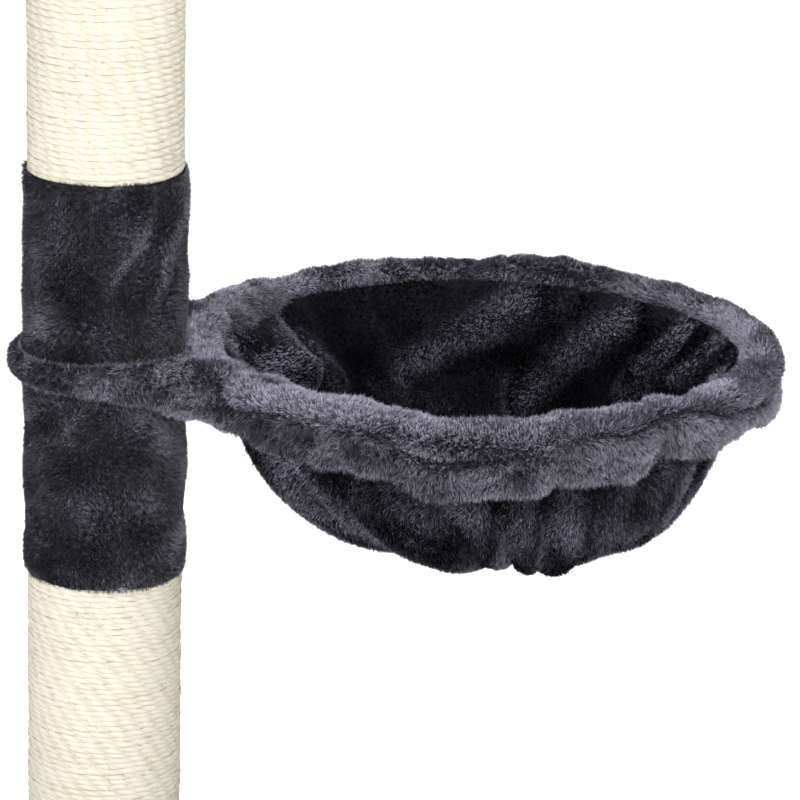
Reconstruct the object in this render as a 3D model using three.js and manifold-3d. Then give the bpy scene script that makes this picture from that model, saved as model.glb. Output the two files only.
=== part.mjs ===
// Cat tree: a covered base board, a rope-wound post with a plush sleeve in its middle, a small
// top cap, and a bowl-shaped plush hammock whose wire frame loops round the post.
// Millimetres, +Z up. The origin is the centre of the base's underside, and the hammock's arm
// points along +X.
import * as THREE from 'three';
import { mergeVertices } from 'three/addons/utils/BufferGeometryUtils.js';
import Module from 'manifold-3d';

const wasm = await Module();
wasm.setup();

// ---- driving dimensions ----
const GAP = 0.3; // clearance between neighbouring solids

const BASE_LENGTH = 600; // along X
const BASE_WIDTH = 500; // along Y
const BASE_CORNER = 60; // plan corner radius
const BOARD_THICKNESS = 25;
const LINER_THICKNESS = 2;
const PLUSH = 7; // plush over a board, backing and pile
const EDGE_ROUND = 5; // rounding of a plush-covered edge

const POST_X = -100; // post axis, off the base's centre to balance the hammock
const POST_LENGTH = 1080;
const TUBE_OUTER = 69; // radii of the post's layers
const TUBE_WALL = 6;
const SISAL_OUTER = 75;
const SLEEVE_OUTER = 78.3;
const LOWER_SISAL = 380; // length of the lower rope winding
const SLEEVE_LENGTH = 400;
const PLUG_THICKNESS = 30;
const POST_SEGMENTS = 36;

const THREAD = 4; // M8 thread radius
const THREAD_CLEARANCE = 4.6;
const INSERT_OUTER = 7;
const INSERT_LENGTH = 25;
const WASHER_OUTER = 12;
const WASHER_THICKNESS = 1.6;
const HEAD_ACROSS_CORNERS = 15;
const HEAD_HEIGHT = 5.3;
const HEAD_RECESS = { radius: 14, depth: 9 };
const NAILS_PER_PLUG = 3;
const NAIL = { shank: 1.25, head: 2.8, headHeight: 1, length: 20 };

const CAP_RADIUS = 90; // top board
const CAP_THICKNESS = 15;
const TNUT = { flange: 9, flangeThickness: 1.5, barrel: 5.5, barrelLength: 10 };

const LOOP_Z = 627; // height of the hammock's frame
const WIRE = 3.5; // wire radius
const LOOP_RADIUS = 86.5; // centre-line of the loop round the post
const HOOP_RADIUS = 272; // centre-line of the hammock's hoop
const HOOP_SEGMENTS = 48;
const LOOP_COVER = { half: 5.3, halfHeight: 17.5 };
const ROLL = 19.5; // radius of the stuffed roll round the hoop
const SLIT = 1; // half the width of the seam slit under a wire casing
const GRIP = { inner: 78.7, outer: 80.4, halfHeight: 12 };
const TIE_PLATE = { length: 15, width: 18, thickness: 2.5 };
const BRACE = { radius: 3, loopAngle: 55, hoopAngle: 160 };
const RUFFLE = { inner: 268, outer: 281, top: -20.5, bottom: -56 };
const NECK = { top: 17, bottom: -36 };
const BOWL_RADIUS = 257; // outer surface at the hoop
const BOWL_DEPTH = 196; // below the hoop
const BOWL_TOP = 21; // the bowl's walls start this far below the hoop
const BOWL_SEGMENTS = 36;
const BOWL_STEPS = 8;
const LAYERS = { outer: 4, padding: 6, lining: 5 };

// ---- derived places ----
const COVER_POCKET = LINER_THICKNESS + GAP + BOARD_THICKNESS + GAP;
const BASE_TOP = COVER_POCKET + PLUSH;
const POST_BOTTOM = BASE_TOP + GAP;
const POST_TOP = POST_BOTTOM + POST_LENGTH;
const SLEEVE_BOTTOM = POST_BOTTOM + LOWER_SISAL;
const SLEEVE_TOP = SLEEVE_BOTTOM + SLEEVE_LENGTH;
const CAP_BOTTOM = POST_TOP + GAP;
const CAP_TOP = CAP_BOTTOM + CAP_THICKNESS;
const HOOP_OFFSET = LOOP_RADIUS + HOOP_RADIUS + 2 * WIRE + GAP; // post axis to hoop centre
const WELD_OFFSET = LOOP_RADIUS + WIRE + GAP / 2; // post axis to where the wires meet
const LOOP_COVER_OUTER = LOOP_RADIUS + LOOP_COVER.half;
const radians = THREE.MathUtils.degToRad;

// ---- materials ----
const finish = (color, roughness, metalness = 0) =>
  new THREE.MeshStandardMaterial({ color, roughness, metalness });
const plush = () => finish('#3b3a43', 0.95);
const sisal = () => finish('#f1e9d4', 0.9);
const chipboard = () => finish('#c2a578', 0.8);
const cardboard = () => finish('#b08b5f', 0.85);
const zincSteel = () => finish('#b9bcc0', 0.35, 0.9);
const wadding = () => finish('#eceae4', 0.95);
const linerFelt = () => finish('#26262a', 0.9);
const gripRubber = () => finish('#1d1d20', 0.7);

// ---- geometry helpers ----
// Merged copy with position only and its faces pointing out.
function closedGeometry(geometry) {
  geometry.deleteAttribute('normal');
  geometry.deleteAttribute('uv');
  const merged = mergeVertices(geometry, 1e-4);
  const position = merged.getAttribute('position');
  const index = merged.getIndex();
  const [a, b, c] = [new THREE.Vector3(), new THREE.Vector3(), new THREE.Vector3()];
  const kept = [];
  let volume = 0;
  for (let i = 0; i < index.count; i += 3) {
    const corners = [index.getX(i), index.getX(i + 1), index.getX(i + 2)];
    if (new Set(corners).size < 3) continue; // collapsed triangle at a pole
    a.fromBufferAttribute(position, corners[0]);
    b.fromBufferAttribute(position, corners[1]);
    c.fromBufferAttribute(position, corners[2]);
    volume += a.dot(b.cross(c));
    kept.push(corners);
  }
  const faces = volume < 0 ? kept.map(([i, j, k]) => [i, k, j]) : kept;
  merged.setIndex(faces.flat());
  return merged;
}

// Solid of revolution about Z from [radius, z] points.
function turned(points, segments) {
  const profile = points.map(([r, z]) => new THREE.Vector2(r, z));
  return closedGeometry(new THREE.LatheGeometry(profile, segments).rotateX(Math.PI / 2));
}

// Round hollow tube standing on Z.
function pipe(inner, outer, bottom, top, segments = POST_SEGMENTS) {
  const points = [[inner, bottom], [outer, bottom], [outer, top], [inner, top], [inner, bottom]];
  return turned(points, segments);
}

function rod(radius, bottom, top, segments = 16) {
  return turned([[0, bottom], [radius, bottom], [radius, top], [0, top]], segments);
}

function wireRing(radius, thickness, segments) {
  return closedGeometry(new THREE.TorusGeometry(radius, thickness, 8, segments));
}

function roundedRectangle(length, width, radius) {
  const [x, y] = [length / 2 - radius, width / 2 - radius];
  const shape = new THREE.Shape();
  shape.absarc(x, y, radius, 0, Math.PI / 2);
  shape.absarc(-x, y, radius, Math.PI / 2, Math.PI);
  shape.absarc(-x, -y, radius, Math.PI, 1.5 * Math.PI);
  shape.absarc(x, -y, radius, 1.5 * Math.PI, 2 * Math.PI);
  shape.closePath();
  return shape;
}

// Board-shaped block from z = bottom to top, its edges rounded by round.
function slab(length, width, corner, bottom, top, round = 0) {
  const shape = roundedRectangle(length - 2 * round, width - 2 * round, corner - round);
  const geometry = new THREE.ExtrudeGeometry(shape, {
    depth: top - bottom - 2 * round,
    curveSegments: 5,
    bevelEnabled: round > 0,
    bevelThickness: round,
    bevelSize: round,
    bevelSegments: 2,
  });
  return closedGeometry(geometry.translate(0, 0, bottom + round));
}

function box(x, y, z) {
  return closedGeometry(new THREE.BoxGeometry(x, y, z));
}

// ---- joining and cutting ----
function solid(geometry) {
  return new wasm.Manifold(new wasm.Mesh({
    numProp: 3,
    vertProperties: new Float32Array(geometry.getAttribute('position').array),
    triVerts: new Uint32Array(geometry.getIndex().array),
  }));
}

function fromSolid(manifold) {
  const { vertProperties, triVerts } = manifold.getMesh();
  const geometry = new THREE.BufferGeometry();
  geometry.setAttribute('position', new THREE.BufferAttribute(vertProperties, 3));
  geometry.setIndex(new THREE.BufferAttribute(triVerts, 1));
  return geometry;
}

function joined(...geometries) {
  return fromSolid(geometries.map(solid).reduce((all, next) => all.add(next)));
}

function cut(geometry, ...tools) {
  return fromSolid(tools.map(solid).reduce((left, tool) => left.subtract(tool), solid(geometry)));
}

const moved = (geometry, x, y = 0, z = 0) => geometry.clone().translate(x, y, z);

// ---- scene graph ----
const catTree = new THREE.Group();
const post = new THREE.Group(); // about the post axis
post.position.x = POST_X;
const hammock = new THREE.Group(); // about the post axis, at the frame's height
hammock.position.z = LOOP_Z;
post.add(hammock);
catTree.add(post);

function addPiece(parent, name, geometry, material) {
  const mesh = new THREE.Mesh(geometry, material);
  mesh.name = name;
  parent.add(mesh);
}

// ---- base ----
function buildBase() {
  const pocket = slab(
    BASE_LENGTH - 2 * PLUSH, BASE_WIDTH - 2 * PLUSH, BASE_CORNER - PLUSH, -1, COVER_POCKET);
  const coverHole = moved(rod(THREAD_CLEARANCE, 0, BASE_TOP + 1), POST_X);
  const coverBlock = slab(BASE_LENGTH, BASE_WIDTH, BASE_CORNER, 0, BASE_TOP, EDGE_ROUND);
  addPiece(catTree, 'base_plush_cover', cut(coverBlock, pocket, coverHole), plush());

  const inset = 2 * (PLUSH + GAP);
  const boardBottom = LINER_THICKNESS + GAP;
  const board = slab(
    BASE_LENGTH - inset, BASE_WIDTH - inset, BASE_CORNER - PLUSH - GAP,
    boardBottom, boardBottom + BOARD_THICKNESS);
  const headRecess = moved(rod(HEAD_RECESS.radius, 0, boardBottom + HEAD_RECESS.depth), POST_X);
  addPiece(catTree, 'base_board', cut(board, coverHole, headRecess), chipboard());

  const linerInset = 4 * PLUSH; // leaves a border for the stapled edge of the cover
  const liner = slab(
    BASE_LENGTH - linerInset, BASE_WIDTH - linerInset, BASE_CORNER - linerInset / 2,
    0, LINER_THICKNESS);
  const access = moved(rod(HEAD_RECESS.radius + 2, -1, LINER_THICKNESS + 1), POST_X);
  addPiece(catTree, 'base_underside_liner', cut(liner, access), linerFelt());
}

// ---- post fastenings ----
function buildBaseBolt() {
  const washerTop = LINER_THICKNESS + GAP + HEAD_RECESS.depth - GAP;
  const washerBottom = washerTop - WASHER_THICKNESS;
  addPiece(post, 'base_washer',
    pipe(THREAD + GAP, WASHER_OUTER, washerBottom, washerTop, 16), zincSteel());
  const headTop = washerBottom - GAP;
  const head = rod(HEAD_ACROSS_CORNERS / 2, headTop - HEAD_HEIGHT, headTop, 6);
  const shank = rod(THREAD, headTop - 1, POST_BOTTOM + INSERT_LENGTH);
  addPiece(post, 'base_bolt', joined(head, shank), zincSteel());
}

function nailGeometry(clearance = 0) {
  const { shank, head, headHeight, length } = NAIL;
  const tip = -length - clearance;
  const under = -headHeight - clearance;
  return turned([
    [0, tip], [shank + clearance, tip], [shank + clearance, under],
    [head + clearance, under], [head + clearance, clearance], [0, clearance],
  ], 8);
}

// A nail turned to point at the post axis, its head just under the tube's surface.
function placedNail(turn, z, clearance) {
  return nailGeometry(clearance)
    .rotateY(Math.PI / 2)
    .translate(TUBE_OUTER - GAP, 0, z)
    .rotateZ(turn);
}

function buildEndPlug(end, bottom) {
  const middle = bottom + PLUG_THICKNESS / 2;
  const spacing = 2 * Math.PI / NAILS_PER_PLUG;
  const turns = Array.from({ length: NAILS_PER_PLUG }, (_, i) => (i + 0.5) * spacing);
  const nailHoles = turns.map((turn) => placedNail(turn, middle, GAP));
  const bore = rod(INSERT_OUTER + GAP, bottom - 1, bottom + PLUG_THICKNESS + 1);
  const disc = rod(TUBE_OUTER - TUBE_WALL - GAP, bottom, bottom + PLUG_THICKNESS, POST_SEGMENTS);
  addPiece(post, `${end}_end_plug`, cut(disc, bore, ...nailHoles), chipboard());
  const insertBottom = middle - INSERT_LENGTH / 2;
  addPiece(post, `${end}_thread_insert`,
    pipe(THREAD + GAP, INSERT_OUTER, insertBottom, insertBottom + INSERT_LENGTH, 16), zincSteel());
  turns.forEach((turn, i) => {
    addPiece(post, `${end}_plug_nail_${i + 1}`, placedNail(turn, middle, 0), zincSteel());
  });
  return nailHoles;
}

// ---- post ----
function buildPost() {
  const nailHoles = [
    ...buildEndPlug('lower', POST_BOTTOM),
    ...buildEndPlug('upper', POST_TOP - PLUG_THICKNESS),
  ];
  const tube = pipe(TUBE_OUTER - TUBE_WALL, TUBE_OUTER, POST_BOTTOM, POST_TOP);
  addPiece(post, 'post_tube', cut(tube, ...nailHoles), cardboard());
  const inner = TUBE_OUTER + GAP;
  addPiece(post, 'lower_sisal_winding',
    pipe(inner, SISAL_OUTER, POST_BOTTOM, SLEEVE_BOTTOM - GAP), sisal());
  addPiece(post, 'plush_sleeve', pipe(inner, SLEEVE_OUTER, SLEEVE_BOTTOM, SLEEVE_TOP), plush());
  addPiece(post, 'upper_sisal_winding',
    pipe(inner, SISAL_OUTER, SLEEVE_TOP + GAP, POST_TOP), sisal());
}

// ---- top cap ----
function buildCap() {
  const { flange, flangeThickness, barrel, barrelLength } = TNUT;
  const flangeTop = CAP_TOP - GAP;
  const flangeBottom = flangeTop - flangeThickness;
  const bore = THREAD + GAP;
  addPiece(post, 'cap_t_nut', turned([
    [bore, flangeBottom - barrelLength], [barrel, flangeBottom - barrelLength],
    [barrel, flangeBottom], [flange, flangeBottom], [flange, flangeTop], [bore, flangeTop],
    [bore, flangeBottom - barrelLength],
  ], 16), zincSteel());
  const barrelHole = rod(barrel + GAP, CAP_BOTTOM - 1, CAP_TOP + 1);
  const flangeRecess = rod(flange + GAP, flangeBottom - GAP, CAP_TOP + 1);
  const board = rod(CAP_RADIUS, CAP_BOTTOM, CAP_TOP, POST_SEGMENTS);
  addPiece(post, 'top_cap_board', cut(board, barrelHole, flangeRecess), chipboard());
  addPiece(post, 'top_stud',
    rod(THREAD, POST_TOP - INSERT_LENGTH, flangeTop - 2), zincSteel());

  const outer = CAP_RADIUS + GAP + PLUSH;
  const coverTop = CAP_TOP + GAP + PLUSH;
  const arcSteps = 4;
  const topEdge = Array.from({ length: arcSteps + 1 }, (_, i) => {
    const turn = radians(90 * i / arcSteps);
    return [
      outer - PLUSH + PLUSH * Math.cos(turn),
      coverTop - PLUSH + PLUSH * Math.sin(turn),
    ];
  });
  const pocket = CAP_RADIUS + GAP;
  addPiece(post, 'top_cap_cover', turned([
    [0, CAP_TOP + GAP], [pocket, CAP_TOP + GAP], [pocket, CAP_BOTTOM], [outer, CAP_BOTTOM],
    ...topEdge, [0, coverTop],
  ], POST_SEGMENTS), plush());
}

// ---- hammock frame ----
function braceGeometry(side, clearance = 0) {
  const loopTurn = radians(BRACE.loopAngle);
  const hoopTurn = radians(BRACE.hoopAngle);
  const start = new THREE.Vector3(
    LOOP_RADIUS * Math.cos(loopTurn), side * LOOP_RADIUS * Math.sin(loopTurn), 0);
  const end = new THREE.Vector3(
    HOOP_OFFSET + HOOP_RADIUS * Math.cos(hoopTurn), side * HOOP_RADIUS * Math.sin(hoopTurn), 0);
  const direction = end.clone().sub(start);
  const bar = new THREE.CylinderGeometry(
    BRACE.radius + clearance, BRACE.radius + clearance, direction.length(), 10);
  const turn = new THREE.Quaternion().setFromUnitVectors(
    new THREE.Vector3(0, 1, 0), direction.clone().normalize());
  const middle = start.clone().add(end).multiplyScalar(0.5);
  return closedGeometry(bar.applyQuaternion(turn).translate(middle.x, middle.y, middle.z));
}

function tiePlate(side, clearance = 0) {
  const { length, width, thickness } = TIE_PLATE;
  const lift = side * (WIRE + GAP + thickness / 2);
  const plate = box(length + 2 * clearance, width + 2 * clearance, thickness + 2 * clearance);
  return moved(plate, WELD_OFFSET, 0, lift);
}

function buildFrame() {
  const loop = wireRing(LOOP_RADIUS, WIRE, POST_SEGMENTS);
  const hoop = moved(wireRing(HOOP_RADIUS, WIRE, HOOP_SEGMENTS), HOOP_OFFSET);
  addPiece(hammock, 'loop_wire', loop, zincSteel());
  addPiece(hammock, 'hoop_wire', hoop, zincSteel());
  const loopSpace = wireRing(LOOP_RADIUS, WIRE + GAP, POST_SEGMENTS);
  const hoopSpace = moved(wireRing(HOOP_RADIUS, WIRE + GAP, HOOP_SEGMENTS), HOOP_OFFSET);
  const sides = [['front', -1], ['back', 1]];
  for (const [name, side] of sides) {
    addPiece(hammock, `brace_${name}`, cut(braceGeometry(side), loopSpace, hoopSpace), zincSteel());
  }
  addPiece(hammock, 'tie_plate_top', tiePlate(1), zincSteel());
  addPiece(hammock, 'tie_plate_bottom', tiePlate(-1), zincSteel());
  return [
    hoopSpace,
    ...sides.map(([, side]) => braceGeometry(side, GAP)),
    tiePlate(1, GAP),
    tiePlate(-1, GAP),
  ];
}

// ---- hammock covers ----
// Casing round a wire ring: outline points, then up the seam slit and round the wire.
function casing(radius, outline, segments) {
  const channel = WIRE + GAP;
  const slitTurn = Math.asin(SLIT / channel);
  const steps = 8;
  const inside = Array.from({ length: steps + 1 }, (_, i) => {
    const turn = -Math.PI / 2 - slitTurn - i / steps * (2 * Math.PI - 2 * slitTurn);
    return [radius + channel * Math.cos(turn), channel * Math.sin(turn)];
  });
  const points = [...outline, ...inside];
  return turned([...points, points[0]], segments);
}

function rollOutline() {
  const slitTurn = Math.asin(SLIT / ROLL);
  const steps = 10;
  return Array.from({ length: steps + 1 }, (_, i) => {
    const turn = -Math.PI / 2 + slitTurn + i / steps * (2 * Math.PI - 2 * slitTurn);
    return [HOOP_RADIUS + ROLL * Math.cos(turn), ROLL * Math.sin(turn)];
  });
}

function bandOutline() {
  const { half, halfHeight } = LOOP_COVER;
  const straight = halfHeight - half;
  const end = (from, to, z) => [0, 1, 2, 3].map((i) => {
    const turn = radians(from + (to - from) * i / 3);
    return [LOOP_RADIUS + half * Math.cos(turn), z + half * Math.sin(turn)];
  });
  const openBottom = radians(90) - Math.asin(SLIT / half);
  const slitSide = (side) => [LOOP_RADIUS + side * SLIT, -straight - half * Math.sin(openBottom)];
  return [
    slitSide(1), ...end(-60, 0, -straight), ...end(0, 180, straight), ...end(180, 240, -straight),
    slitSide(-1),
  ];
}

function buildCovers(frameSpaces) {
  addPiece(hammock, 'grip_ring',
    pipe(GRIP.inner, GRIP.outer, -GRIP.halfHeight, GRIP.halfHeight), gripRubber());
  const band = casing(LOOP_RADIUS, bandOutline(), POST_SEGMENTS);
  addPiece(hammock, 'loop_cover', cut(band, ...frameSpaces), plush());

  const loopColumn = rod(LOOP_COVER_OUTER + GAP, RUFFLE.bottom - 1, ROLL + 1, POST_SEGMENTS);
  const roll = moved(casing(HOOP_RADIUS, rollOutline(), HOOP_SEGMENTS), HOOP_OFFSET);
  const [, ...bracing] = frameSpaces;
  addPiece(hammock, 'rim_cover', cut(roll, loopColumn, ...bracing), plush());

  const skirt = moved(
    pipe(RUFFLE.inner, RUFFLE.outer, RUFFLE.bottom, RUFFLE.top, HOOP_SEGMENTS), HOOP_OFFSET);
  addPiece(hammock, 'rim_ruffle', cut(skirt, loopColumn), plush());
}

// Web of padded plush in the corner between the loop and the hoop.
function buildNeck(bracing) {
  const loopColumn = rod(LOOP_COVER_OUTER + GAP, NECK.bottom - 1, NECK.top + 1, POST_SEGMENTS);
  const hoopColumn = moved(
    rod(HOOP_RADIUS + ROLL + GAP, NECK.bottom - 1, NECK.top + 1, HOOP_SEGMENTS), HOOP_OFFSET);
  for (const [name, side] of [['front', -1], ['back', 1]]) {
    const shape = new THREE.Shape();
    shape.moveTo(45, side * 55);
    shape.lineTo(100, side * 55);
    shape.lineTo(100, side * 112);
    shape.quadraticCurveTo(88, side * 97, 30, side * 91);
    shape.closePath();
    const web = closedGeometry(new THREE.ExtrudeGeometry(shape, {
      depth: NECK.top - NECK.bottom, curveSegments: 5, bevelEnabled: false,
    }).translate(0, 0, NECK.bottom));
    addPiece(hammock, `neck_gusset_${name}`, cut(web, loopColumn, hoopColumn, ...bracing), plush());
  }
}

// ---- hammock bowl ----
// Wall of the bowl between two depths into its layers: steep sides and a flattened bottom.
function bowlShell(inset, thickness) {
  const surface = (depth) => {
    const start = Math.asin(BOWL_TOP / (BOWL_DEPTH - depth));
    return Array.from({ length: BOWL_STEPS + 1 }, (_, i) => {
      const turn = start + (Math.PI / 2 - start) * Math.sqrt(i / BOWL_STEPS);
      const radius = i === BOWL_STEPS ? 0 : (BOWL_RADIUS - depth) * Math.cos(turn) ** (2 / 3);
      return [radius, -(BOWL_DEPTH - depth) * Math.sin(turn)];
    });
  };
  const points = [...surface(inset).reverse(), ...surface(inset + thickness)];
  return moved(turned(points, BOWL_SEGMENTS), HOOP_OFFSET);
}

function buildBowl() {
  let inset = 0;
  const fills = { outer: plush, padding: wadding, lining: plush };
  for (const [layer, thickness] of Object.entries(LAYERS)) {
    addPiece(hammock, `bowl_${layer}`, bowlShell(inset, thickness), fills[layer]());
    inset += thickness + 2 * GAP;
  }
}

buildBase();
buildBaseBolt();
buildPost();
buildCap();
const frameSpaces = buildFrame();
buildCovers(frameSpaces);
buildNeck(frameSpaces.slice(1));
buildBowl();

export default catTree;
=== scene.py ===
import math

import bmesh
import bpy
import numpy as np
from mathutils import Matrix, Vector


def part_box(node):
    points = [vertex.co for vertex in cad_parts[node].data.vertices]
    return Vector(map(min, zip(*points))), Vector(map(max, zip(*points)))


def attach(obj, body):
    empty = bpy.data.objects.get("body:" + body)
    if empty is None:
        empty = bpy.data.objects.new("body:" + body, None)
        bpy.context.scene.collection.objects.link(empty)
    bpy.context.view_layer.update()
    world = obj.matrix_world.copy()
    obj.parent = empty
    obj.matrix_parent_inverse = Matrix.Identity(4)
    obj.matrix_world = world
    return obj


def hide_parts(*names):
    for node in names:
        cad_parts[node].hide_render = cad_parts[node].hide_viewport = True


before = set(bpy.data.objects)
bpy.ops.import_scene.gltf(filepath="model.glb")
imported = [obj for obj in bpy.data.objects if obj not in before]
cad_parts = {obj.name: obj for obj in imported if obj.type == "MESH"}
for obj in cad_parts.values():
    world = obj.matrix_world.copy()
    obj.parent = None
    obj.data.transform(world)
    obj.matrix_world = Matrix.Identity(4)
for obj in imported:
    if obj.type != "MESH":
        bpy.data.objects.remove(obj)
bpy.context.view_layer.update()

scene = bpy.context.scene
print("frame loaded")

# small helpers
def toLinear(hexColour):
    channels = [int(hexColour[i:i + 2], 16) / 255 for i in (1, 3, 5)]
    linear = [c / 12.92 if c <= 0.04045 else ((c + 0.055) / 1.055) ** 2.4 for c in channels]
    return (*linear, 1.0)


def addNode(material, kind, settings=None, links=None):
    node = material.node_tree.nodes.new("ShaderNode" + kind)
    for name, value in (settings or {}).items():
        if name == "stops":  # a colour ramp's positions and colours
            stops = node.color_ramp.elements
            for position, colour in value[2:]:
                stops.new(position)
            for stop, (position, colour) in zip(stops, sorted(value)):
                stop.position = position
                stop.color = toLinear(colour)
        elif isinstance(name, int) or name in node.inputs:
            node.inputs[name].default_value = value
        else:
            setattr(node, name, value)
    for name, socket in (links or {}).items():
        material.node_tree.links.new(socket, node.inputs[name])
    return node


def startMaterial(name):
    material = bpy.data.materials.new(name)
    material.use_nodes = True
    material.node_tree.nodes.clear()
    return material


def endMaterial(material, settings, colour, bump=None):
    links = {"Base Color": colour}
    if bump is not None:
        links["Normal"] = bump
    shader = addNode(material, "BsdfPrincipled", settings, links)
    addNode(material, "OutputMaterial", {}, {"Surface": shader.outputs[0]})
    return material


def waves(points, seed, wavelength, count=14):  # smooth noise of about unit strength
    draw = np.random.default_rng(seed)
    directions = draw.normal(size=(count, points.shape[1]))
    directions /= np.linalg.norm(directions, axis=1)[:, None]
    lengths = wavelength * draw.uniform(0.7, 1.5, count)
    turns = points @ (directions * (2 * math.pi / lengths)[:, None]).T
    return np.sin(turns + draw.uniform(0, 2 * math.pi, count)).sum(1) / math.sqrt(count / 2)


def unit(vectors):
    return vectors / np.maximum(np.linalg.norm(vectors, axis=1), 1e-9)[:, None]


def shape(mesh):  # the vertex places of a mesh as rows
    places = np.empty(len(mesh.vertices) * 3)
    mesh.vertices.foreach_get("co", places)
    return places.reshape(-1, 3)


def reshape(mesh, places):
    mesh.vertices.foreach_set("co", places.astype(np.float32).ravel())
    mesh.update()


def finishMesh(bm, name, material):
    bmesh.ops.recalc_face_normals(bm, faces=bm.faces)
    for face in bm.faces:
        face.smooth = True
    mesh = bpy.data.meshes.new(name)
    bm.to_mesh(mesh)
    bm.free()
    mesh.materials.append(material)
    piece = bpy.data.objects.new(name, mesh)
    scene.collection.objects.link(piece)
    return piece


def settle(piece, kind, **settings):  # adds a modifier and applies it
    modifier = piece.modifiers.new(kind.lower(), kind)
    for name, value in settings.items():
        setattr(modifier, name, value)
    evaluated = piece.evaluated_get(bpy.context.evaluated_depsgraph_get())
    mesh = bpy.data.meshes.new_from_object(evaluated)
    old = piece.data
    piece.modifiers.clear()
    piece.data = mesh
    bpy.data.meshes.remove(old)
    for face in mesh.polygons:
        face.use_smooth = True
    return piece


def place(piece, body, slot, *nodes):
    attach(piece, body)
    if nodes:
        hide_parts(*nodes)
    return piece


# finishes
# the backing is real knit, but its near-black colour is painted shade, so the gaps between the
# fibres look dark
def plushBacking():  # dark knitted ground that shows between the fibres
    material = startMaterial("plush knit backing")
    coords = addNode(material, "TexCoord")
    knit = addNode(material, "TexNoise", {"Scale": 900.0, "Detail": 3.0},
                   {"Vector": coords.outputs["Object"]})  # 1 mm stitches
    patches = addNode(material, "TexNoise", {"Scale": 24.0, "Detail": 2.0},
                      {"Vector": coords.outputs["Object"]})
    both = addNode(material, "Math", {"operation": "MULTIPLY"},
                   {0: knit.outputs["Fac"], 1: patches.outputs["Fac"]})
    # painted shade: near-black to dark grey
    colour = addNode(material, "ValToRGB", {"stops": [(0.12, "#08080b"), (0.45, "#1d1c22")]},
                     {"Fac": both.outputs[0]})
    bump = addNode(material, "Bump", {"Strength": 0.6, "Distance": 0.0008},
                   {"Height": knit.outputs["Fac"]})
    return endMaterial(material, {
        "Roughness": 0.95, "Specular IOR Level": 0.02, "Sheen Weight": 0.03,
        "Sheen Roughness": 0.5, "Sheen Tint": toLinear("#8c8a98"),
    }, colour.outputs[0], bump.outputs[0])


# brushed polyester pile: the tips are the fibre's own silvery grey, and the fibres darken towards
# the root as painted shade deep in the pile
def plushFibre(name, root, middle, tip, sheen, gloss):
    material = startMaterial(name)
    coords = addNode(material, "UVMap", {"uv_map": "OFBake"})
    parts = addNode(material, "SeparateXYZ", {}, {0: coords.outputs[0]})
    # painted shade: each fibre runs from a near-black root to its lighter tip
    along = addNode(material, "ValToRGB", {"stops": [(0.05, root), (0.95, tip), (0.5, middle)]},
                    {"Fac": parts.outputs[1]})
    # the tint scales each fibre's colour; it carries the pieces' painted light and shade as well
    # as random tone
    tint = addNode(material, "MapRange", {"From Min": 0.0, "From Max": 1.0, "To Min": 0.02,
                                          "To Max": 2.7}, {"Value": parts.outputs[0]})
    colour = addNode(material, "VectorMath", {"operation": "SCALE"},
                     {0: along.outputs[0], "Scale": tint.outputs[0]})
    return endMaterial(material, {
        "Roughness": 0.62, "Specular IOR Level": gloss, "Sheen Weight": sheen,
        "Sheen Roughness": 0.4, "Sheen Tint": toLinear("#b9b6c6"),
    }, colour.outputs[0])


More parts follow.
